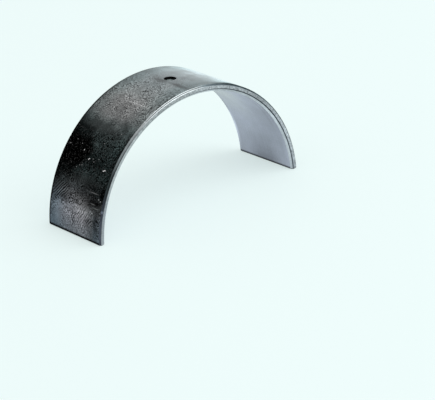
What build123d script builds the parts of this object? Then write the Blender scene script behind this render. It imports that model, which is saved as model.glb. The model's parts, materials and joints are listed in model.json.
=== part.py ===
from build123d import *
from math import degrees
import os

# Half shell of a plain connecting-rod bearing: a steel back with its lining bonded on, formed as one piece.
# It stands on its two parting faces. X runs across the ends, Y along the bore, and Z up to the crown.
# The origin is midway between the parting faces and the side faces, at the height that the shell stands on.

# Driving dimensions, in millimetres and degrees
back_radius = 26.0            # outside of the shell as it lies free, before its housing closes it
wall = 1.5                    # steel back and lining together
width = 16.5                  # along the bore
sweep = 175.1                 # arc from parting face to parting face: the free spread leaves it short of a half turn
back_edge_chamfer = 0.32
bore_edge_chamfer = 0.5
parting_edge_break = 0.2
relief_depth = 0.03           # how far the bore has fallen away at a parting face
relief_height = 6.0           # how far from a parting face that starts, along the bore
oil_hole_diameter = 2.2
oil_hole_lean = 1.8           # from the crown, towards +X
oil_hole_back_break = 0.12
oil_hole_bore_break = 0.3

# Sizes that follow from those above
bore_radius = back_radius - wall
end_lift = (180 - sweep) / 2


def wall_section():
    """Section through the wall: its radius along X, and the bore along Y."""
    section = Pos(back_radius - wall / 2, 0) * Rectangle(wall, width)
    section = chamfer(section.vertices().group_by(Axis.X)[0], bore_edge_chamfer)
    return chamfer(section.vertices().group_by(Axis.X)[-1], back_edge_chamfer)


def formed_strip():
    """The wall section swept over the crown, from one parting face to the other."""
    over_the_crown = Axis((0, 0, 0), (0, -1, 0))
    return revolve(Rot(0, -end_lift, 0) * wall_section(), over_the_crown, sweep)


def bore_relief(side):
    """Cylinder that leaves the bore at the relief's start and stands deepest into the wall at the parting face."""
    start = Vector(bore_radius, 0).rotate(Axis.Z, end_lift + degrees(relief_height / bore_radius))
    deepest = Vector(bore_radius + relief_depth, 0).rotate(Axis.Z, end_lift)
    shift = (deepest.length**2 - start.length**2) / (2 * (deepest.X - start.X))
    radius = (start - Vector(shift, 0)).length
    return Pos(side * shift, 0, 0) * Rot(90, 0, 0) * Cylinder(radius, 2 * width)


def mouth_cone(mouth_height, edge_break, outward):
    """Cone that breaks the oil hole's edge by edge_break where the wall's surface stands at mouth_height."""
    hole_radius = oil_hole_diameter / 2
    cone = Cone(hole_radius, hole_radius + 2 * edge_break, 2 * edge_break)
    return Pos(0, 0, mouth_height) * (cone if outward else Rot(180, 0, 0) * cone)


def oil_hole():
    """Hole through the wall near the crown, with its edge broken at both mouths."""
    drill = Pos(0, 0, back_radius - wall / 2) * Cylinder(oil_hole_diameter / 2, 2 * wall)
    back_mouth = mouth_cone(back_radius, oil_hole_back_break, True)
    bore_mouth = mouth_cone(bore_radius, oil_hole_bore_break, False)
    return Rot(0, oil_hole_lean, 0) * (drill + back_mouth + bore_mouth)


def parting_edges(shell):
    """The long edges of both parting faces, where they meet the back and the bore."""
    parting_faces = shell.faces().filter_by(GeomType.PLANE).filter_by(Axis.Y, reverse=True)
    return parting_faces.edges().filter_by(Axis.Y)


def bearing_shell():
    """The finished shell, standing on z = 0."""
    shell = formed_strip() - bore_relief(-1) - bore_relief(1) - oil_hole()
    shell = chamfer(parting_edges(shell), parting_edge_break)
    return Pos(0, 0, -shell.bounding_box().min.Z) * shell


os.makedirs("parts", exist_ok=True)
export_step(bearing_shell().solid(), "parts/bearing_shell.step")
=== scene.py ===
import json
import math

import bmesh
import bpy
from mathutils import Matrix, Vector

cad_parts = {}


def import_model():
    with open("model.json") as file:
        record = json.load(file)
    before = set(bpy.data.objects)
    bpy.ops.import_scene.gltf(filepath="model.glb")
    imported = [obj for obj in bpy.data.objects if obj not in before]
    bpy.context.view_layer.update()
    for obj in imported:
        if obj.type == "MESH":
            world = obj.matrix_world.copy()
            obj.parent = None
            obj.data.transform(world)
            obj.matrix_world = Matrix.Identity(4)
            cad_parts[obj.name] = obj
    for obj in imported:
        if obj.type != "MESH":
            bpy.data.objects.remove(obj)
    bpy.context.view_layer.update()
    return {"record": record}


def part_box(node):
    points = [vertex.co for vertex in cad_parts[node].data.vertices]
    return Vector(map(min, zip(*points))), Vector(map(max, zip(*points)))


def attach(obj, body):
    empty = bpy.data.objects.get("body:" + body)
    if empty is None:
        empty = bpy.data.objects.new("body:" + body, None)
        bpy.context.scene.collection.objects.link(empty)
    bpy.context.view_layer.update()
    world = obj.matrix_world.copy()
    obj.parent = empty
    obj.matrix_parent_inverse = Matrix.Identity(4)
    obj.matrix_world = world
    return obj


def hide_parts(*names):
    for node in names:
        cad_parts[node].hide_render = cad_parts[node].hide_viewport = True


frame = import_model()

# All lengths are in metres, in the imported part's own frame, and all angles are in radians
mm = 0.001
degree = math.radians(1)

# The shell's sizes, from its packed mounts and its box
mounts = {mount["name"]: mount for mount in frame["record"]["mounts"]}
journal = mounts["journal_seat"]
oil_hole = mounts["oil_hole"]
parting_axis = mounts["parting_face_right"]["axis"]
centre_height = journal["pos_m"][2]
bore_radius = journal["dims"]["r_mm"] * mm
back_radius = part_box("bearing_shell")[1].z - centre_height
half_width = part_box("bearing_shell")[1].y
end_lift = math.atan2(parting_axis[0], -parting_axis[2])
left_end = math.pi - end_lift        # angle of the left parting face from +X
arc = math.pi - 2 * end_lift         # angle from one parting face to the other
hole_angle = math.atan2(oil_hole["axis"][2], oil_hole["axis"][0])
hole_radius = oil_hole["dims"]["r_mm"] * mm
hole_tangent = Vector((math.sin(hole_angle), 0, -math.cos(hole_angle)))

# Edge sizes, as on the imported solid
back_chamfer = 0.32 * mm
bore_chamfer = 0.5 * mm
parting_break = 0.2 * mm
hole_back_break = 0.12 * mm
hole_bore_break = 0.3 * mm
relief_depth = 0.03 * mm
relief_height = 6.0 * mm

# How far handling has rounded the sharp edges
worn_radius = 0.06 * mm
worn_back_radius = 0.11 * mm

# Fineness of the mesh
columns = 420                # along the arc
row_pitch = 0.25 * mm        # across the width
corner_steps = 4
corner_fullness = 0.41       # how far a rounded corner bulges from its chord towards the sharp corner
patch_reach = 2.1 * mm       # half the side of the square that is woven round the oil hole
patch_rings = 6
patch_crowding = 1.6         # above 1, the rings lie closer together towards the hole

# Dents from handling: (degrees from +X, y in mm, length along the arc, width, depth in mm)
dents = [
    (103.1, -0.4, 0.65, 0.65, 0.05),
    (162.6, -8.1, 0.55, 0.7, 0.10),
    (118.4, -7.9, 0.5, 0.5, 0.05),
    (136.2, 7.9, 0.7, 0.6, 0.06),
    (63.0, 4.1, 0.8, 0.4, 0.04),
    (38.0, -2.6, 0.6, 0.5, 0.04),
]

# Camera, worked out from the shell's edges in the photograph
lens_mm = 177.2
camera_heading = 39.54 * degree      # from +Y towards +X
camera_pitch = -23.16 * degree
camera_roll = 3.87 * degree
camera_distance = 433.5 * mm
camera_aim = Vector((6.32, -5.50, -1.56)) * mm

# Looks that the materials share
lightest = 0.95                       # no bare steel is lighter
dull_rim = (0.1, 0.1, 0.1, 1.0)       # specular tint that keeps metal dark at a grazing angle
grain_height = 0.01 * mm              # depth of the fine lines and the mottle
noise_shift = (1.0, 1.7, 0.6)         # how a seed moves a noise


# Form of the shell

def relief_circle():
    """(shift along X, radius) of the circle that the bore follows near a parting face."""
    start_angle = end_lift + relief_height / bore_radius
    deepest = bore_radius + relief_depth
    run = deepest * math.cos(end_lift) - bore_radius * math.cos(start_angle)
    shift = (deepest**2 - bore_radius**2) / (2 * run)
    radius = math.hypot(bore_radius * math.cos(start_angle) - shift, bore_radius * math.sin(start_angle))
    return shift, radius


relief_shift, relief_radius = relief_circle()


def bore_at(angle):
    """The bore's radius at an angle from +X, with the relief near both parting faces."""
    across = relief_shift * math.sin(angle)
    relieved = relief_shift * abs(math.cos(angle)) + math.sqrt(relief_radius**2 - across**2)
    return max(bore_radius, relieved)


def dented(angle, y):
    """How deep handling has dented the back at one place."""
    deepest = 0.0
    for at, across, length, width, depth in dents:
        along = (angle / degree - at) * degree * back_radius / (length * mm / 2)
        aside = (y - across * mm) / (width * mm / 2)
        inside = 1 - along**2 - aside**2
        if inside > 0:
            deepest = max(deepest, depth * mm * inside**2)
    return deepest


def rounded_corner(before, corner, after, radius):
    """Points of the arc that rounds one corner of an outline."""
    to_before = (before - corner).normalized()
    to_after = (after - corner).normalized()
    half_turn = (math.pi - to_before.angle(to_after)) / 2
    start = corner + to_before * radius * math.tan(half_turn)
    end = corner + to_after * radius * math.tan(half_turn)
    fullest = (corner - start.lerp(end, 0.5)) * corner_fullness
    points = []
    for step in range(corner_steps + 1):
        share = step / corner_steps
        points.append(start.lerp(end, share) + fullest * 4 * share * (1 - share))
    return points


def row_places():
    """Places across the width where the back and the bore have a row of points each."""
    count = int((half_width - bore_chamfer - 2 * worn_radius) / row_pitch)
    return [row * row_pitch for row in range(-count, count + 1)]


def section(angle, inset):
    """The wall's outline at an angle, drawn in by inset, and where its back and bore rows start."""
    back = back_radius - inset
    bore = bore_at(angle) + inset
    half = half_width - inset / 2
    rows = row_places()
    corners = [
        Vector((bore + bore_chamfer, -half)),
        Vector((back - back_chamfer, -half)),
        Vector((back, -half + back_chamfer)),
        Vector((back, half - back_chamfer)),
        Vector((back - back_chamfer, half)),
        Vector((bore + bore_chamfer, half)),
        Vector((bore, half - bore_chamfer)),
        Vector((bore, -half + bore_chamfer)),
    ]
    back_corners = range(1, 5)
    after_back, after_bore = 3, 7        # the corners that the rows of the back and the bore run up to
    points = []
    for i, corner in enumerate(corners):
        if i == after_back:
            back_row = len(points)
            points += [Vector((back, y)) for y in rows]
        if i == after_bore:
            bore_row = len(points)
            points += [Vector((bore, y)) for y in reversed(rows)]
        radius = worn_back_radius if i in back_corners else worn_radius
        points += rounded_corner(corners[i - 1], corner, corners[(i + 1) % len(corners)], radius)
    for point in points:
        if point.x > back - 2 * back_chamfer:
            point.x -= dented(angle, point.y)
    return points, back_row, bore_row


def end_steps():
    """(distance from the parting face, inset) of each outline that makes the broken edge of an end."""
    deep = Vector((0, 2 * parting_break))
    edge = Vector((0, parting_break))
    full = Vector((parting_break, 0))
    along = Vector((2 * parting_break, 0))
    path = rounded_corner(deep, edge, full, worn_radius) + rounded_corner(edge, full, along, worn_radius)
    return [(point.x, point.y) for point in path]


def outline_stations():
    """(angle, inset) of every outline from the right parting face over the crown to the left one."""
    ends = [(end_lift + distance / back_radius, inset) for distance, inset in end_steps()]
    first = ends[-1][0]
    last = math.pi - first
    middle = [(first + (last - first) * i / columns, 0.0) for i in range(1, columns)]
    return ends + middle + [(math.pi - angle, inset) for angle, inset in reversed(ends)]


def in_space(radius, y, angle):
    """A point of the shell, from its radius, its place along the bore and its angle from +X."""
    return Vector((radius * math.cos(angle), y, centre_height + radius * math.sin(angle)))


def beside_hole(radius, sideways, y, depth=0.0):
    """A point on that radius, or depth below it, by its offsets from the oil hole's axis."""
    outward = Vector((math.cos(hole_angle), 0, math.sin(hole_angle)))
    height = math.sqrt(radius**2 - sideways**2) - depth
    return Vector((0, y, centre_height)) + outward * height + hole_tangent * sideways


def hole_profile():
    """(surface, distance from the hole's axis, depth under that surface) from the back to the bore."""
    # The edge at the back is rounded, and the one at the bore is a chamfer with softened corners
    lip = hole_back_break
    mouth = hole_bore_break
    down = [("back", hole_radius + lip * 1.25, 0.0)]
    down += [
        ("back", hole_radius + lip * (1 - math.sin(turn)), lip * (1 - math.cos(turn)))
        for turn in (0.3, 0.7, 1.1)
    ]
    down += [("back", hole_radius, lip * 1.1), ("back", hole_radius, lip * 2.5)]
    down += [("bore", hole_radius, -mouth * 1.6), ("bore", hole_radius, -mouth * 1.05)]
    down += [("bore", hole_radius + mouth * 0.08, -mouth * 0.92)]
    down += [("bore", hole_radius + mouth * 0.92, -mouth * 0.08)]
    down += [("bore", hole_radius + mouth * 1.15, 0.0)]
    return down


def opening_border(rings, first_column, last_column, start, end):
    """The points round a square opening, in order, from one column and row to another."""
    step = 1 if start < end else -1
    border = [rings[i][start] for i in range(first_column, last_column)]
    border += [rings[last_column][j] for j in range(start, end, step)]
    border += [rings[i][end] for i in range(last_column, first_column, -1)]
    border += [rings[first_column][j] for j in range(end, start, -step)]
    return border


def shell_mesh():
    """The whole shell as one closed mesh, with square openings woven to the oil hole's round mouths."""
    mesh = bmesh.new()
    stations = outline_stations()
    rings = []
    for angle, inset in stations:
        points, back_row, bore_row = section(angle, inset)
        rings.append([mesh.verts.new(in_space(p.x, p.y, angle)) for p in points])
    count = len(rings[0])
    rows = len(row_places())

    reach = patch_reach / back_radius
    near = [i for i, (angle, _) in enumerate(stations) if abs(angle - hole_angle) <= reach]
    first_column, last_column = near[0], near[-1]
    near_rows = [i for i, y in enumerate(row_places()) if abs(y) <= patch_reach]
    first_back, last_back = back_row + near_rows[0], back_row + near_rows[-1]
    first_bore, last_bore = bore_row + rows - 1 - near_rows[-1], bore_row + rows - 1 - near_rows[0]

    for i in range(len(rings) - 1):
        for j in range(count):
            in_columns = first_column <= i < last_column
            if in_columns and (first_back <= j < last_back or first_bore <= j < last_bore):
                continue
            k = (j + 1) % count
            mesh.faces.new((rings[i][j], rings[i][k], rings[i + 1][k], rings[i + 1][j]))

    back_border = opening_border(rings, first_column, last_column, first_back, last_back)
    bore_border = opening_border(rings, first_column, last_column, last_bore, first_bore)
    weave_hole(mesh, back_border, bore_border)
    for ring in (rings[0], rings[-1]):
        cap_end(mesh, ring, back_row, bore_row, rows)
    bmesh.ops.recalc_face_normals(mesh, faces=mesh.faces[:])
    return mesh


def hole_offsets(point):
    """(sideways, along Y) of a point from the oil hole's axis."""
    return (point - Vector((0, 0, centre_height))).dot(hole_tangent), point.y


def weave_hole(mesh, back_border, bore_border):
    """Rings of faces from the back's opening, down the oil hole, and out to the bore's opening."""
    offsets = [hole_offsets(vert.co) for vert in back_border]
    turns = [math.atan2(y, sideways) for sideways, y in offsets]
    profile = hole_profile()

    def between(borders, radius, mouth, share):
        """One ring on a round surface, part of the way from its square opening to the mouth."""
        ring = []
        for vert, turn in zip(borders, turns):
            sideways, y = hole_offsets(vert.co)
            sideways += (mouth * math.cos(turn) - sideways) * share
            y += (mouth * math.sin(turn) - y) * share
            ring.append(mesh.verts.new(beside_hole(radius, sideways, y)))
        return ring

    shares = [1 - (1 - step / patch_rings) ** patch_crowding for step in range(1, patch_rings)]
    loops = [back_border]
    loops += [between(back_border, back_radius, profile[0][1], share) for share in shares]
    for surface, away, depth in profile:
        radius = back_radius if surface == "back" else bore_radius
        loops.append([
            mesh.verts.new(beside_hole(radius, away * math.cos(turn), away * math.sin(turn), depth))
            for turn in turns
        ])
    loops += [between(bore_border, bore_radius, profile[-1][1], share) for share in reversed(shares)]
    loops.append(bore_border)
    count = len(turns)
    for loop, after in zip(loops, loops[1:]):
        for i in range(count):
            k = (i + 1) % count
            mesh.faces.new((loop[i], loop[k], after[k], after[i]))


def cap_end(mesh, ring, back_row, bore_row, rows):
    """The flat parting face: rungs between the back and the bore, and one face at each corner pair."""
    back = ring[back_row:back_row + rows]
    bore = ring[bore_row:bore_row + rows][::-1]
    for i in range(rows - 1):
        mesh.faces.new((back[i], back[i + 1], bore[i + 1], bore[i]))
    mesh.faces.new(ring[back_row + rows - 1:bore_row + 1])
    mesh.faces.new(ring[bore_row + rows - 1:] + ring[:back_row + 1])


# Materials

def share_at(angle):
    """Share of the arc, from the left parting face, at an angle in degrees from +X."""
    return (left_end - angle * degree) / arc


def length_at(angle):
    """Length along the back, from the left parting face, at an angle in degrees from +X."""
    return (left_end - angle * degree) * back_radius


class Shader:
    """A material's nodes. Each call adds one node and returns the output that the next call takes."""

    def __init__(self, name):
        self.material = bpy.data.materials.new(name)
        self.material.use_nodes = True
        self.tree = self.material.node_tree
        self.surface = self.tree.nodes["Principled BSDF"]

    def node(self, kind, **settings):
        made = self.tree.nodes.new(kind)
        for key, value in settings.items():
            setattr(made, key, value)
        return made

    def join(self, value, socket):
        """Links an output to a socket, or sets the socket to a plain value."""
        if isinstance(value, bpy.types.NodeSocket):
            self.tree.links.new(value, socket)
        else:
            socket.default_value = value

    def math(self, operation, a, b=0.0):
        made = self.node("ShaderNodeMath", operation=operation)
        self.join(a, made.inputs[0])
        self.join(b, made.inputs[1])
        return made.outputs[0]

    def unsigned(self, value):
        return self.math("ABSOLUTE", value)

    def without(self, loss):
        """What a loss from 0 to 1 leaves."""
        return self.math("SUBTRACT", 1.0, loss)

    def times(self, *values):
        product = values[0]
        for value in values[1:]:
            product = self.math("MULTIPLY", product, value)
        return product

    def plus(self, *values):
        total = values[0]
        for value in values[1:]:
            total = self.math("ADD", total, value)
        return total

    def vector(self, x, y, z):
        made = self.node("ShaderNodeCombineXYZ")
        for value, socket in zip((x, y, z), made.inputs):
            self.join(value, socket)
        return made.outputs[0]

    def noise(self, place, size, detail=3.0, stretch=(1.0, 1.0), turn=0.0, seed=0.0):
        """Soft noise from 0 to 1: blotches about size across, stretched along axes turned in degrees."""
        mapping = self.node("ShaderNodeMapping", vector_type="TEXTURE")
        mapping.inputs["Location"].default_value = [seed * shift for shift in noise_shift]
        mapping.inputs["Rotation"].default_value = (0, 0, turn * degree)
        mapping.inputs["Scale"].default_value = (size * stretch[0], size * stretch[1], size)
        self.join(place, mapping.inputs["Vector"])
        made = self.node("ShaderNodeTexNoise")
        self.join(mapping.outputs[0], made.inputs["Vector"])
        made.inputs["Scale"].default_value = 1.0
        made.inputs["Detail"].default_value = detail
        return made.outputs["Fac"]

    def ramp(self, value, low, high, out_low=0.0, out_high=1.0):
        """value from low to high, eased to out_low to out_high."""
        made = self.node("ShaderNodeMapRange", interpolation_type="SMOOTHSTEP")
        self.join(value, made.inputs["Value"])
        made.inputs["From Min"].default_value = low
        made.inputs["From Max"].default_value = high
        made.inputs["To Min"].default_value = out_low
        made.inputs["To Max"].default_value = out_high
        return made.outputs[0]

    def varied(self, noise, spread, reach=0.2):
        """A factor around 1 that follows the noise, by spread at most, within reach of its middle."""
        return self.ramp(noise, 0.5 - reach, 0.5 + reach, 1 - spread, 1 + spread)

    def by_angle(self, share, levels):
        """A curve through (degrees from +X, level) pairs, from the left foot to the right one."""
        made = self.node("ShaderNodeValToRGB")
        made.color_ramp.interpolation = "EASE"
        elements = made.color_ramp.elements
        while len(elements) < len(levels):
            elements.new(1.0)
        for element, (angle, level) in zip(elements, levels):
            element.position = share_at(angle)
            element.color = (level, level, level, 1)
        self.join(share, made.inputs["Fac"])
        return made.outputs["Color"]

    def mix(self, factor, a, b, blend="MIX"):
        made = self.node("ShaderNodeMix", data_type="RGBA", blend_type=blend)
        self.join(factor, made.inputs["Factor"])
        for value, socket in ((a, made.inputs[6]), (b, made.inputs[7])):
            self.join(value if isinstance(value, bpy.types.NodeSocket) else (*value, 1), socket)
        return made.outputs[2]

    def tinted(self, shade, tint):
        return self.mix(1.0, shade, tint, "MULTIPLY")

    def spots(self, place, marks, soft=0.5):
        """A mask of oval marks, each (degrees from +X, y, length along the arc, width), sizes in mm."""
        mask = 0.0
        for angle, across, length, width in marks:
            offset = self.node("ShaderNodeVectorMath", operation="SUBTRACT")
            self.join(place, offset.inputs[0])
            offset.inputs[1].default_value = (length_at(angle), across * mm, 0)
            scaled = self.node("ShaderNodeVectorMath", operation="MULTIPLY")
            self.join(offset.outputs[0], scaled.inputs[0])
            scaled.inputs[1].default_value = (2 / (length * mm), 2 / (width * mm), 0)
            reach = self.node("ShaderNodeVectorMath", operation="LENGTH")
            self.join(scaled.outputs[0], reach.inputs[0])
            mask = self.math("MAXIMUM", self.ramp(reach.outputs["Value"], 1 + soft, 1 - soft), mask)
        return mask

    def bump(self, height, strength):
        made = self.node("ShaderNodeBump")
        made.inputs["Strength"].default_value = strength
        made.inputs["Distance"].default_value = grain_height
        self.join(height, made.inputs["Height"])
        return made.outputs[0]

    def finish(self, **inputs):
        """Sets the surface's inputs by name, with spaces written as underscores."""
        for key, value in inputs.items():
            self.join(value, self.surface.inputs[key.replace("_", " ")])
        return self.material


def strip_place(shader):
    """(share of the arc from the left parting face, y, radius, all three as lengths in one vector)."""
    place = shader.node("ShaderNodeTexCoord").outputs["Object"]
    split = shader.node("ShaderNodeSeparateXYZ")
    shader.join(place, split.inputs[0])
    x, y, z = split.outputs
    height = shader.math("SUBTRACT", z, centre_height)
    angle = shader.math("ARCTAN2", height, x)
    from_left = shader.math("SUBTRACT", left_end, angle)
    share = shader.math("DIVIDE", from_left, arc)
    length = shader.math("MULTIPLY", from_left, back_radius)
    radius = shader.math("SQRT", shader.plus(shader.times(x, x), shader.times(height, height)))
    return share, y, radius, shader.vector(length, y, radius)


def hatching(shader, share, y, place, slope):
    """Fine wavering lines from -1 to 1, at a slope in degrees from the arc."""
    pitch = 0.52 * mm
    waver_depth = 9.0        # in radians
    across = shader.plus(
        shader.times(share, arc * back_radius, math.sin(slope * degree)),
        shader.times(y, math.cos(slope * degree)),
    )
    waver = shader.times(shader.noise(place, 1.5 * mm, detail=1.0, seed=4.0), waver_depth)
    return shader.math("SINE", shader.plus(shader.times(across, 2 * math.pi / pitch), waver))


def back_mottle(shader, share, y, place):
    """Fine crossed mottle from -1 to 1, hatched twice on the left leg and swirled before the crown."""
    rising = shader.noise(place, 0.19 * mm, detail=0.5, stretch=(1.6, 1.0), turn=38, seed=1.0)
    falling = shader.noise(place, 0.19 * mm, detail=0.5, stretch=(1.6, 1.0), turn=-42, seed=7.0)
    crossed = shader.ramp(shader.plus(rising, falling), 0.84, 1.16, -1.0, 1.0)
    far_lines = hatching(shader, share, y, place, 42)
    near_lines = hatching(shader, share, y, place, 32)
    far_hatch = shader.times(shader.spots(place, [(159.4, 5.0, 3.2, 4.4)], soft=0.6), 1.6)
    near_hatch = shader.times(shader.spots(place, [(168.0, -2.6, 4.0, 5.0)], soft=0.6), 0.8)
    swirl_turns = 44.0       # in radians
    swirl_noise = shader.noise(place, 1.8 * mm, detail=0.5, seed=41.0)
    swirl = shader.math("SINE", shader.times(swirl_noise, swirl_turns))
    swirl_depth = shader.by_angle(share, [(120, 0.0), (113, 0.4), (97, 0.4), (91, 0.0)])
    swirled = shader.times(swirl_depth, shader.ramp(y, -3.0 * mm, -6.0 * mm, 1.0, 1.6))
    return shader.plus(
        crossed,
        shader.times(far_hatch, shader.plus(far_lines, shader.times(crossed, -0.5))),
        shader.times(near_hatch, shader.plus(near_lines, shader.times(crossed, -0.5))),
        shader.times(swirled, shader.plus(swirl, shader.times(crossed, -0.6))),
    )


def front_darkening(shader, share, y):
    """How far the back is darkened along its front edge just past the crown, in its colour and its grazing
    reflection.
    """
    most = 0.95
    past_crown = shader.by_angle(share, [(86, 0.0), (80, 0.1), (75, 0.4), (67, 1.0), (58, 0.9), (50, 0.0)])
    return shader.times(past_crown, shader.ramp(y, -6.0 * mm, -7.8 * mm), most)


def tone_along(shader, share, y, place):
    """How light the back is along the arc: a nearly black painted reflection with slanting, uneven borders
    on the left leg, and a painted highlight past the crown.
    """
    front = shader.ramp(y, -1.0 * mm, -8.0 * mm)
    slant = shader.times(front, shader.by_angle(share, [
        (177.5, 0.055), (168, 0.045), (163, 0.036), (150, 0.035), (136, 0.008), (124, 0.0),
    ]))
    wander = shader.ramp(shader.noise(place, 4.0 * mm, detail=2.0), 0.2, 0.8, -0.012, 0.012)
    # Painted: the near-black band from 151 to 131 degrees stands for a dark reflection, and the peak near
    # 66 degrees for a highlight
    return shader.by_angle(shader.plus(share, slant, wander), [
        (177.5, 0.175), (168, 0.21), (164.5, 0.22), (161, 0.1), (157, 0.045), (151, 0.004), (145, 0.0),
        (137, 0.0), (131, 0.012), (127, 0.052), (121, 0.23), (115, 0.275), (109, 0.33), (104, 0.335),
        (98, 0.31), (90, 0.245), (84, 0.285), (78, 0.345), (74, 0.45), (70, 0.61), (66, 0.82), (60, 0.7),
        (50, 0.45), (38, 0.34), (3, 0.28),
    ])


def edge_shading(shader, share, y):
    """What is left of the back's lightness towards both edges and at the left parting face."""
    shoulder_depth = shader.by_angle(share, [(177.5, 0.26), (80, 0.26), (70, 0.0), (58, 0.0), (46, 0.26)])
    far_shade = shader.by_angle(share, [(127, 0.0), (122, 0.18), (118, 0.12), (113, 0.26), (105, 0.0)])
    far_depth = shader.by_angle(share, [
        (177.5, 0.75), (168, 0.65), (160, 0.85), (154, 0.97), (148, 0.9), (140, 0.68), (133, 0.8),
        (126, 0.95), (113, 0.88), (104, 0.5), (84, 0.35), (3, 0.4),
    ])
    front_depth = shader.by_angle(share, [
        (162, 0.0), (156, 0.8), (140, 0.9), (133, 0.95), (127, 0.0), (113, 0.0), (108, 0.5), (102, 0.4),
        (95, 0.0),
    ])
    losses = [
        shader.times(shader.ramp(shader.unsigned(y), 5.2 * mm, 7.2 * mm), shoulder_depth),
        shader.times(shader.ramp(y, 3.5 * mm, 7.0 * mm), far_shade),
        shader.times(shader.ramp(y, 7.3 * mm, 7.75 * mm), far_depth),
        shader.times(shader.ramp(y, -7.2 * mm, -7.65 * mm), front_depth),
        shader.ramp(share, 0.005, 0.010, 0.97, 0.0),
    ]
    return shader.times(*(shader.without(loss) for loss in losses))


def back_tone(shader, share, y, place, blotches):
    """How light the back is, with its patches, a painted highlight along its front rim and painted shading.
    """
    # Painted highlight along the front rim, at a few angles over the crown
    rim_light = shader.by_angle(share, [
        (122, 0.0), (118, 0.3), (115, 1.0), (111, 0.1), (104, 0.2), (97, 0.55), (90, 0.3), (84, 0.4),
        (76, 0.0),
    ])
    front_rim = shader.plus(1.0, shader.times(rim_light, shader.ramp(y, -6.5 * mm, -7.3 * mm)))
    # Painted shading: lighter on the far side and darker at the front, just past the crown
    lean = shader.by_angle(share, [(100, 0.0), (88, 0.07), (82, 0.2), (76, 0.04), (66, 0.0)])
    leaning = shader.plus(1.0, shader.times(lean, shader.ramp(y, -5.0 * mm, 5.0 * mm, -1.0, 1.0)))
    tone = shader.times(
        tone_along(shader, share, y, place),
        shader.varied(blotches, 0.14),
        front_rim,
        leaning,
        edge_shading(shader, share, y),
    )
    return shader.math("MINIMUM", tone, lightest)


def back_haze(shader, share, y, place, blotches):
    """A faint grey lightening over the front half of the painted dark reflection, and along the front edge
    of the left foot.
    """
    border = shader.by_angle(share, [
        (160, 0.8), (155, 0.85), (150, 1.0), (146.5, 0.5), (143, 0.02), (140, 0.02), (137, 0.35),
        (131, 0.6),
    ])
    ragged = shader.times(shader.plus(blotches, -0.5), 5 * mm)
    from_border = shader.plus(y, shader.times(border, -4 * mm), ragged)
    thickness = shader.by_angle(share, [
        (162, 0.0), (154, 0.013), (151, 0.020), (148, 0.019), (144, 0.015), (138, 0.024), (131, 0.026),
        (126, 0.012), (120, 0.0),
    ])
    fading = shader.by_angle(share, [
        (158, 0.0), (154, 0.45), (151.5, 0.45), (148, 0.0), (144, 0.2), (140, 0.5), (132, 0.4), (127, 0.0),
    ])
    faded = shader.without(shader.times(fading, shader.ramp(y, -6.0 * mm, -7.3 * mm)))
    strip = shader.by_angle(share, [(177.5, 0.0), (172, 0.025), (164, 0.045), (160, 0.02), (156, 0.0)])
    thicker = shader.spots(place, [
        (131.5, -6.2, 7.5, 1.7), (150.6, -0.8, 3.4, 1.8), (136.6, -1.0, 1.6, 1.8),
    ], soft=0.6)
    return shader.plus(
        shader.times(thickness, shader.ramp(from_border, 1.0 * mm, -1.8 * mm), faded),
        shader.times(strip, shader.ramp(y, -6.4 * mm, -7.6 * mm)),
        shader.times(thicker, 0.015),
    )


def glints_and_bare_marks(shader, share, place):
    """What painted glints, faint painted highlights and specks and scratches of bare steel add to the
    back's lightness.
    """
    glint_noise = shader.noise(place, 0.24 * mm, detail=1.0, seed=11.0)
    in_dark_reflection = shader.by_angle(share, [(164, 0.3), (157, 1.0), (130, 1.0), (124, 0.0)])
    # Painted glints, sparse except in the painted dark reflection
    glints = shader.times(shader.ramp(glint_noise, 0.6, 0.74), in_dark_reflection)
    specks = shader.spots(place, [
        (143.3, -0.1, 0.16, 0.26), (142.9, -0.3, 0.16, 0.26), (145.7, -5.4, 0.2, 0.4),
        (145.3, -5.75, 0.2, 0.4), (140.2, 2.2, 0.3, 0.14),
    ], soft=0.3)
    faint_specks = shader.spots(place, [
        (146.6, 1.1, 0.2, 0.22), (147.0, 1.7, 0.2, 0.2), (141.8, -2.9, 0.18, 0.22),
        (142.5, -1.3, 0.18, 0.2), (139.5, 6.8, 0.2, 0.3), (134.6, -2.2, 0.2, 0.22),
        (128.1, -5.0, 0.2, 0.25), (158.3, -7.2, 0.2, 0.3), (143.6, -1.8, 0.18, 0.2),
        (148.2, 2.4, 0.18, 0.2), (136.8, 5.4, 0.18, 0.2), (137.9, 3.6, 0.18, 0.2),
        (157.8, -6.6, 0.24, 0.3), (164.5, -5.3, 0.25, 0.3), (111.6, -2.2, 0.2, 6.6),
    ], soft=0.3)
    scratch = shader.spots(place, [
        (155.9, -4.8, 0.2, 2.4), (160.6, -5.1, 0.2, 1.4), (162.0, -6.2, 0.2, 1.8),
    ], soft=0.8)
    # Faint painted highlights, one along the near lip of the oil hole
    lip = shader.spots(place, [
        (88.2, -1.45, 1.6, 0.4), (95.4, -3.4, 2.2, 2.4), (164.4, -2.8, 2.0, 5.4),
    ], soft=0.6)
    return shader.plus(
        shader.times(glints, 0.06),
        shader.times(specks, 0.9),
        shader.times(faint_specks, 0.26),
        shader.times(scratch, 0.12),
        shader.times(lip, 0.05),
    )


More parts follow.
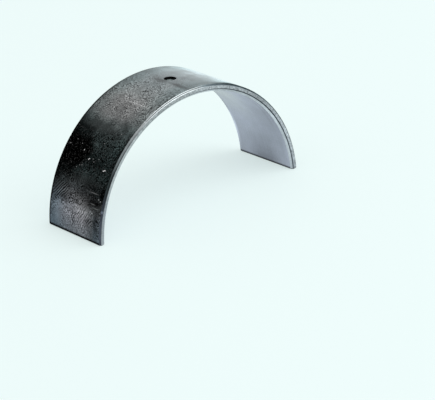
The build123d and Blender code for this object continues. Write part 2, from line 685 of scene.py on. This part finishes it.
def dark_marks(shader, place, mottle):
    """What pits, strokes and smears leave of the back's lightness."""
    pits = shader.ramp(shader.noise(place, 0.33 * mm, detail=1.0, seed=23.0), 0.7, 0.78, 1.0, 0.6)
    strokes = shader.spots(place, [
        (103.6, 0.0, 0.45, 0.4), (103.1, -0.4, 0.45, 0.4), (102.6, -0.8, 0.45, 0.4),
        (111.1, -6.3, 0.7, 0.5), (160.2, -4.6, 0.8, 1.5), (160.1, -6.3, 0.6, 2.2),
        (156.0, -7.3, 2.6, 1.2), (167.2, -7.1, 0.4, 1.2), (164.3, -5.9, 0.35, 0.35),
        (173.4, -7.3, 0.4, 0.5), (153.5, 7.3, 2.8, 2.6),
    ])
    smears = shader.spots(place, [
        (92.2, 0.8, 1.2, 3.2), (91.8, -4.8, 1.1, 5.0), (169.8, -6.5, 2.8, 1.6), (160.4, -5.3, 2.0, 3.6),
        (173.4, -6.0, 3.6, 4.2), (169.5, -4.6, 3.0, 2.6), (162.4, 3.8, 1.8, 4.6), (156.3, -3.6, 2.6, 4.4),
        (144.2, -1.8, 2.2, 3.6),
    ], soft=0.7)
    struck = shader.times(strokes, shader.ramp(mottle, -0.5, 1.0, 0.95, 0.7))
    smeared = shader.times(smears, 0.53)
    return shader.times(pits, shader.without(struck), shader.without(smeared))


def back_texture(shader, share, place, mottle, darkening):
    """The mottle as a factor around 1: strongest in the painted dark reflection, and calm in a few spots.
    """
    contrast_along = shader.by_angle(share, [
        (177.5, 0.45), (168, 0.75), (161, 1.0), (150, 1.35), (133, 1.4), (127, 0.5), (122, 0.4),
        (117, 0.7), (98, 0.6), (90, 0.35), (76, 0.1), (54, 0.2), (3, 0.3),
    ])
    contrast = shader.plus(contrast_along, shader.times(darkening, 0.4))
    uneven = shader.ramp(shader.noise(place, 1.6 * mm, detail=1.0, seed=31.0), 0.35, 0.65, 0.6, 1.3)
    calm = shader.spots(place, [
        (151.8, -1.4, 2.8, 6.5), (128.5, 2.0, 2.4, 7.0), (171.6, 5.6, 3.6, 3.2),
    ], soft=0.6)
    left = shader.without(shader.times(calm, 0.7))
    texture = shader.plus(1.0, shader.times(mottle, contrast, uneven, left))
    return shader.math("MAXIMUM", texture, 0.02)


def back_tint(shader, share, y):
    """The back's colour: warm on the left foot but for its corner, and greener in the painted dark
    reflection.
    """
    red = shader.by_angle(share, [
        (177.5, 0.93), (168, 1.0), (160, 0.98), (154, 0.87), (148, 0.70), (134, 0.74), (127, 0.86),
        (120, 0.97), (112, 0.98), (104, 0.92), (96, 0.87), (84, 0.84), (3, 0.86),
    ])
    blue = shader.by_angle(share, [
        (177.5, 1.17), (166, 1.13), (158, 1.06), (150, 1.0), (112, 1.0), (84, 1.05), (3, 1.02),
    ])
    off_centre = shader.ramp(shader.unsigned(y), 2.5 * mm, 7.0 * mm, 1.0, 0.92)
    on_foot = shader.by_angle(share, [(177.5, 1.0), (163, 1.0), (156, 0.0)])
    at_corner = shader.by_angle(share, [(168, 1.0), (164, 0.0)])
    near_side = shader.ramp(y, 5.0 * mm, -3.0 * mm)
    far_side = shader.ramp(y, 3.0 * mm, 6.5 * mm, 0.0, -0.9)
    front_edge = shader.ramp(y, -5.4 * mm, -6.6 * mm, 0.0, -1.4)
    warm = shader.plus(
        shader.times(on_foot, shader.plus(near_side, far_side)),
        shader.times(at_corner, front_edge),
    )
    return shader.vector(
        shader.times(red, off_centre, shader.plus(1.0, shader.times(warm, 0.07))),
        1.0,
        shader.times(blue, shader.plus(1.0, shader.times(warm, -0.05))),
    )


def back_steel():
    """Dark mottled steel with a nearly black painted reflection across the left leg."""
    shader = Shader("back_steel")
    share, y, _, place = strip_place(shader)
    blotches = shader.noise(place, 2.2 * mm, detail=4.0, seed=3.0)
    mottle = back_mottle(shader, share, y, place)
    darkening = front_darkening(shader, share, y)
    bare = shader.without(darkening)
    tone = shader.times(back_tone(shader, share, y, place, blotches), bare)
    haze = back_haze(shader, share, y, place, blotches)
    shading_and_marks = shader.times(
        shader.plus(tone, haze),
        back_texture(shader, share, place, mottle, darkening),
        dark_marks(shader, place, mottle),
    )
    tinted = shader.tinted(shading_and_marks, back_tint(shader, share, y))
    smooth = shader.by_angle(share, [(164, 1.0), (152, 0.6), (136, 0.6), (124, 1.0)])
    return shader.finish(
        Base_Color=shader.mix(1.0, tinted, glints_and_bare_marks(shader, share, place), "ADD"),
        Metallic=1.0,
        Specular_Tint=shader.times(shader.by_angle(share, [(112, 0.5), (92, 0.9)]), bare),
        Roughness=shader.times(smooth, shader.ramp(mottle, -1.0, 1.0, 0.36, 0.48)),
        Normal=shader.bump(mottle, 0.3),
    )


def edge_lines(shader, share, radius):
    """Lines along a back chamfer: painted highlights along both its edges over the crown, and along its
    inner edge a line that is darker on the left leg and a painted highlight past the crown.
    """
    down = shader.math("DIVIDE", shader.math("SUBTRACT", back_radius, radius), back_chamfer)
    from_middle = shader.unsigned(shader.math("SUBTRACT", down, 0.5))
    corner_highlights = shader.by_angle(share, [(150, 0.0), (124, 0.0), (112, 0.7), (88, 0.7), (80, 0.2), (70, 0.0)])
    both = shader.times(shader.ramp(from_middle, 0.15, 0.35, -1.0, 1.0), corner_highlights)
    # The inner edge line: darker on the left leg, and a painted highlight past the crown
    inner_loss = shader.by_angle(share, [(160, 0.0), (152, 0.65), (140, 0.45), (127, 0.4), (119, 0.0)])
    inner_gain = shader.by_angle(share, [(80, 0.0), (71, 1.0), (62, 1.0), (54, 0.0)])
    inner = shader.times(
        shader.ramp(down, 0.55, 0.9),
        shader.math("SUBTRACT", shader.times(inner_gain, 1.4), inner_loss),
    )
    return shader.times(shader.plus(1.0, both), shader.plus(1.0, inner))


def back_edge():
    """The chamfers beside the back: dark on the left leg, with painted highlights over the crown."""
    shader = Shader("back_edge")
    share, _, radius, place = strip_place(shader)
    # Painted shading along the arc: dark on the left leg and lighter over the crown
    tone = shader.by_angle(share, [
        (177.5, 0.05), (174, 0.085), (168, 0.085), (164, 0.06), (160, 0.05), (148, 0.06), (139, 0.26),
        (128, 0.34), (118, 0.34), (108, 0.40), (96, 0.42), (88, 0.34), (80, 0.15), (72, 0.10), (57, 0.11),
        (46, 0.31), (38, 0.34), (28, 0.24), (3, 0.23),
    ])
    drawn = shader.noise(place, 0.09 * mm, stretch=(16.0, 1.0), seed=5.0)
    nicked = shader.noise(place, 0.5 * mm, seed=9.0)
    nick = shader.times(shader.spots(place, [(162.6, -8.1, 0.5, 0.8)]), 0.12)
    worn = shader.times(
        tone,
        shader.varied(drawn, 0.18),
        shader.varied(nicked, 0.12),
        edge_lines(shader, share, radius),
    )
    level = shader.math("MINIMUM", shader.plus(worn, nick), lightest)
    red = shader.by_angle(share, [
        (177.5, 0.92), (160, 0.88), (152, 0.75), (142, 0.85), (122, 0.92), (90, 0.9), (80, 0.78),
        (56, 0.75), (36, 0.86),
    ])
    blue = shader.by_angle(share, [
        (177.5, 1.28), (160, 1.25), (150, 1.04), (90, 1.02), (80, 1.1), (56, 1.1), (36, 1.05),
    ])
    return shader.finish(
        Base_Color=shader.tinted(level, shader.vector(red, 1.0, blue)),
        Metallic=1.0,
        Specular_Tint=dull_rim,
        Roughness=shader.ramp(drawn, 0.2, 0.8, 0.3, 0.42),
    )


def side_line(shader, share, radius):
    """The blue-black line where a side face meets the chamfer of the bore, strongest on the right leg."""
    middle = bore_radius + bore_chamfer - 0.03 * mm
    off_line = shader.unsigned(shader.math("SUBTRACT", radius, middle))
    near = shader.ramp(off_line, 0.06 * mm, 0.13 * mm, 1.0, 0.0)
    strength = shader.by_angle(share, [
        (177, 0.35), (160, 0.1), (136, 0.0), (124, 0.3), (115, 0.55), (106, 0.4), (97, 0.5), (84, 0.8),
        (60, 0.97), (34, 0.99), (24, 0.9), (3, 0.8),
    ])
    return shader.mix(shader.times(near, strength), (1, 1, 1), (0, 0.015, 0.03))


def edge_tint(shader, share):
    """The colour of bare cut metal: neutral over the left shoulder and the crown, bluer on both legs."""
    red, green = 0.95, 0.99
    blue = shader.by_angle(share, [
        (177, 1.06), (162, 1.08), (150, 1.02), (100, 1.02), (82, 1.05), (3, 1.07),
    ])
    return shader.vector(red, green, blue)


def outer_line(shader, share, radius):
    """The outer edge of a side face: a dark line on the left leg, and a painted highlight beside the crown.
    """
    off_line = shader.math("SUBTRACT", back_radius - back_chamfer, radius)
    near = shader.ramp(off_line, 0.08 * mm, 0.22 * mm, 1.0, 0.0)
    level = shader.by_angle(share, [
        (177, 0.7), (165, 0.5), (157, 0.12), (150, 0.05), (138, 0.1), (131, 0.3), (125, 0.6), (119, 1.0),
        (113, 1.3), (100, 1.35), (91, 1.0),
    ])
    return shader.plus(1.0, shader.times(near, shader.math("SUBTRACT", level, 1.0)))


def cut_steel():
    """Ground side faces and parting faces, with fine lines along the arc."""
    shader = Shader("cut_steel")
    share, y, radius, place = strip_place(shader)
    along = shader.times(share, math.pi * back_radius)
    drawn = shader.noise(shader.vector(along, radius, y), 0.07 * mm, stretch=(18.0, 1.0), seed=2.0)
    cloud = shader.noise(place, 0.6 * mm, seed=13.0)
    scuffed = shader.noise(place, 0.3 * mm, detail=2.0, seed=27.0)
    # Painted shading: lighter and darker along the arc
    tone = shader.by_angle(share, [
        (177, 0.85), (162, 0.87), (150, 1.0), (141, 1.12), (132, 1.05), (120, 0.9), (106, 0.88), (92, 1.0),
        (82, 1.08), (70, 0.9), (49, 0.78), (38, 0.92), (22, 1.2), (12, 0.95),
    ])
    blotches = shader.plus(
        shader.ramp(cloud, 0.3, 0.7, -0.18, 0.18),
        shader.ramp(scuffed, 0.35, 0.65, -0.24, 0.2),
    )
    blotched = shader.by_angle(share, [(136, 0.4), (104, 1.0)])
    level = shader.times(
        shader.ramp(drawn, 0.25, 0.75, 0.35, 0.60),
        shader.plus(1.0, shader.times(blotches, blotched)),
        tone,
        outer_line(shader, share, radius),
    )
    shade = shader.tinted(level, edge_tint(shader, share))
    return shader.finish(
        Base_Color=shader.tinted(shade, side_line(shader, share, radius)),
        Metallic=1.0,
        Roughness=shader.ramp(drawn, 0.2, 0.8, 0.34, 0.46),
        Normal=shader.bump(drawn, 0.3),
    )


def bore_edge():
    """The bright turned chamfers beside the bore."""
    shader = Shader("bore_edge")
    share, _, radius, place = strip_place(shader)
    drawn = shader.noise(place, 0.09 * mm, stretch=(16.0, 1.0), seed=4.0)
    scuffed = shader.noise(place, 0.3 * mm, detail=2.0, seed=29.0)
    # Painted shading: lighter and darker along the arc
    tone = shader.by_angle(share, [
        (177, 0.7), (100, 0.68), (88, 0.68), (82, 0.72), (76, 0.62), (68, 0.55), (58, 0.58), (46, 0.60),
        (40, 0.67), (34, 0.73), (28, 0.61), (22, 0.56), (13, 0.62), (3, 0.54),
    ])
    level = shader.times(tone, shader.varied(drawn, 0.18, reach=0.25), shader.varied(scuffed, 0.08))
    shade = shader.tinted(level, edge_tint(shader, share))
    shade = shader.tinted(shade, side_line(shader, share, radius))
    return shader.finish(Base_Color=shade, Metallic=1.0, Roughness=0.4)


def lining_tone(shader, share, y):
    """How light the lining is, as painted shading: lighter towards its far side, darker in the middle of
    the right foot, and painted highlights and shade along both rims.
    """
    far = shader.by_angle(share, [
        (177, 1.0), (130, 1.15), (80, 1.2), (60, 1.1), (46, 1.22), (36, 1.12), (28, 1.02), (20, 0.94),
        (12, 0.84), (3, 0.8),
    ])
    front = shader.by_angle(share, [
        (177, 1.0), (130, 1.15), (80, 1.2), (60, 1.1), (44, 1.0), (36, 0.87), (20, 0.83), (3, 0.84),
    ])
    tone = shader.mix(shader.ramp(y, 2.5 * mm, -4.0 * mm), far, front)
    foot = shader.by_angle(share, [(20, 0.0), (13, 0.1), (8, 0.22), (4, 0.36)])
    middle = shader.ramp(shader.unsigned(shader.plus(y, 0.5 * mm)), 1.0 * mm, 6.0 * mm, 1.0, 0.0)
    far_level = shader.by_angle(share, [
        (66, 1.0), (42, 0.86), (30, 0.86), (24, 1.25), (18, 1.55), (13, 1.45), (8, 1.2), (4, 1.0),
    ])
    far_rim = shader.mix(shader.ramp(y, 6.9 * mm, 7.5 * mm), (1, 1, 1), far_level)
    front_level = shader.by_angle(share, [
        (94, 0.86), (82, 0.78), (70, 0.70), (58, 0.76), (46, 0.80), (40, 0.86), (34, 0.93), (28, 0.93),
        (22, 1.06), (13, 1.13), (3, 1.0),
    ])
    front_rim = shader.mix(shader.ramp(y, -6.6 * mm, -7.4 * mm), (1, 1, 1), front_level)
    return shader.times(tone, shader.without(shader.times(foot, middle)), far_rim, front_rim)


def bore_lining():
    """Matte blue-grey bearing metal with faint turned lines."""
    shader = Shader("bore_lining")
    share, y, _, place = strip_place(shader)
    cloud = shader.noise(place, 3.0 * mm, seed=6.0)
    turned = shader.noise(place, 0.16 * mm, detail=2.0, stretch=(60.0, 1.0), seed=8.0)
    grain = shader.noise(place, 0.25 * mm, seed=15.0)
    # Painted shade: a darker line along both ends of the lining, by the floor
    from_end = shader.math("SUBTRACT", 0.5, shader.unsigned(shader.math("SUBTRACT", share, 0.5)))
    end_line = shader.ramp(from_end, 0.0045, 0.0095, 0.2, 1.0)
    scored = shader.by_angle(share, [(58, 0.0), (50, 0.12), (32, 0.12), (22, 0.0)])
    score = shader.ramp(shader.unsigned(shader.plus(y, 6.0 * mm)), 0.15 * mm, 0.6 * mm, 1.0, 0.0)
    level = shader.times(
        lining_tone(shader, share, y),
        shader.without(shader.times(score, scored)),
        shader.varied(cloud, 0.07),
        shader.varied(turned, 0.04),
        shader.varied(grain, 0.06),
        end_line,
    )
    red, green, full_blue = 0.555, 0.57, 0.665
    less_blue = shader.by_angle(share, [(64, 0.0), (52, 0.07), (44, 0.1), (36, 0.055), (24, 0.0)])
    far_loss = shader.times(less_blue, shader.ramp(y, -4.0 * mm, 4.0 * mm))
    blue = shader.times(shader.without(far_loss), full_blue)
    return shader.finish(
        Base_Color=shader.tinted(level, shader.vector(red, green, blue)),
        Metallic=1.0,
        Roughness=shader.ramp(cloud, 0.3, 0.7, 0.46, 0.54),
        Normal=shader.bump(turned, 0.2),
    )


def painted_shade_edges():
    """Dark painted shade at the back's mouth of the oil hole and on the broken edges of the ends."""
    shader = Shader("painted_shade_edges")
    *_, place = strip_place(shader)
    grain = shader.noise(place, 0.2 * mm, seed=17.0)
    shade = shader.mix(grain, (0.002, 0.003, 0.003), (0.02, 0.022, 0.024))
    return shader.finish(Base_Color=shade, Metallic=1.0, Specular_Tint=dull_rim, Roughness=0.5)


def drilled_steel():
    """The wall of the oil hole: black near the back as painted shadow, and lighter towards the bore."""
    shader = Shader("drilled_steel")
    *_, radius, place = strip_place(shader)
    depth = shader.math("SUBTRACT", back_radius, radius)
    grain = shader.noise(place, 0.15 * mm, seed=19.0)
    # Painted shadow: black down to 0.4 mm, lighter deeper down
    level = shader.times(shader.ramp(depth, 0.4 * mm, 0.8 * mm, 0.004, 0.5), shader.varied(grain, 0.3))
    shade = shader.tinted(level, (0.95, 1.0, 1.0))
    return shader.finish(Base_Color=shade, Metallic=1.0, Roughness=0.25)


def surface_of(face):
    """Which material a face of the shell takes, by its place and the way it faces."""
    middle = face.calc_center_median()
    from_centre = Vector((middle.x, 0, middle.z - centre_height))
    radius = from_centre.length
    outward = from_centre.normalized().dot(face.normal)
    angle = math.atan2(from_centre.z, middle.x)
    from_end = (min(angle, math.pi - angle) - end_lift) * back_radius
    by_crown = middle.z > centre_height + bore_radius / 2
    from_hole = math.hypot(*hole_offsets(middle)) if by_crown else math.inf
    # How squarely the kinds of faces look away from the bore's axis, or towards it
    round_face, side_face, end_face = 0.93, 0.37, 0.3

    if from_hole < hole_radius + 0.02 * mm:
        return "drilled_steel"
    # The back's lip of the oil hole and the ends' broken edges take painted shade
    on_back_lip = from_hole < hole_radius + hole_back_break and radius > back_radius - hole_back_break
    if on_back_lip or (from_end < parting_break and abs(outward) > end_face):
        return "painted_shade_edges"
    if outward > round_face:
        return "back_steel"
    if outward < -round_face and radius < bore_radius + 2 * relief_depth:
        return "bore_lining"
    if abs(outward) < side_face:
        return "cut_steel"
    return "back_edge" if outward > 0 else "bore_edge"


def bearing_shell():
    """The finished shell, in place of the plain one."""
    materials = [
        back_steel(), back_edge(), cut_steel(), bore_edge(), bore_lining(), painted_shade_edges(), drilled_steel(),
    ]
    names = [material.name for material in materials]
    mesh = shell_mesh()
    for face in mesh.faces:
        face.smooth = True
        face.material_index = names.index(surface_of(face))
    data = bpy.data.meshes.new("shell_of_the_bearing")
    mesh.to_mesh(data)
    mesh.free()
    for material in materials:
        data.materials.append(material)
    shell = bpy.data.objects.new("finished_shell", data)
    bpy.context.scene.collection.objects.link(shell)
    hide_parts("bearing_shell")
    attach(shell, "root")


# Studio

def floor_paper():
    """Pale paper that the camera and reflections see partly at a plain level, so that shadows stay soft."""
    shader = Shader("floor_paper")
    shader.finish(Base_Color=(0.83, 0.95, 0.94, 1), Roughness=0.9)
    plain_share = 0.6
    plain = shader.node("ShaderNodeEmission")
    plain.inputs["Color"].default_value = (0.87, 0.99, 0.98, 1)
    rays = shader.node("ShaderNodeLightPath").outputs
    seen = shader.plus(rays["Is Camera Ray"], rays["Is Glossy Ray"], rays["Is Transmission Ray"])
    blend = shader.node("ShaderNodeMixShader")
    shader.join(shader.times(shader.math("MINIMUM", seen, 1.0), plain_share), blend.inputs[0])
    shader.join(shader.surface.outputs[0], blend.inputs[1])
    shader.join(plain.outputs[0], blend.inputs[2])
    shader.join(blend.outputs[0], shader.tree.nodes["Material Output"].inputs["Surface"])
    return shader.material


def floor():
    """A wide pale floor."""
    half = 3.0
    corners = [(-half, -half, 0), (half, -half, 0), (half, half, 0), (-half, half, 0)]
    data = bpy.data.meshes.new("floor")
    data.from_pydata(corners, [], [(0, 1, 2, 3)])
    plane = bpy.data.objects.new("floor", data)
    bpy.context.scene.collection.objects.link(plane)
    data.materials.append(floor_paper())


def world():
    """An even white studio all round."""
    surroundings = bpy.data.worlds.new("studio")
    surroundings.use_nodes = True
    background = surroundings.node_tree.nodes["Background"]
    background.inputs["Color"].default_value = (1, 1, 1, 1)
    background.inputs["Strength"].default_value = 0.7
    bpy.context.scene.world = surroundings


def softbox(name, towards, distance, size, power):
    """A square lamp that far from the shell, in the direction towards, that shines at it."""
    light = bpy.data.lights.new(name, "AREA")
    light.shape = "SQUARE"
    light.size = size
    light.energy = power
    lamp = bpy.data.objects.new(name, light)
    direction = Vector(towards).normalized()
    lamp.location = direction * distance
    lamp.rotation_euler = direction.to_track_quat("Z", "Y").to_euler()
    bpy.context.scene.collection.objects.link(lamp)


def camera():
    """The camera of the photograph."""
    data = bpy.data.cameras.new("camera")
    data.lens = lens_mm
    data.clip_start = 0.01
    data.clip_end = 20.0
    forward = Vector((
        math.sin(camera_heading) * math.cos(camera_pitch),
        math.cos(camera_heading) * math.cos(camera_pitch),
        math.sin(camera_pitch),
    ))
    held = bpy.data.objects.new("camera", data)
    turn = forward.to_track_quat("-Z", "Y").to_matrix() @ Matrix.Rotation(-camera_roll, 3, "Z")
    held.matrix_world = Matrix.Translation(camera_aim - forward * camera_distance) @ turn.to_4x4()
    bpy.context.scene.collection.objects.link(held)
    bpy.context.scene.camera = held


bearing_shell()
floor()
world()
softbox("key", towards=(0.38, -0.49, 0.79), distance=1.0, size=1.0, power=5.0)
softbox("rim", towards=(0.69, 0.70, 0.12), distance=0.9, size=0.5, power=0.6)
camera()
bpy.context.scene.view_settings.view_transform = "Standard"
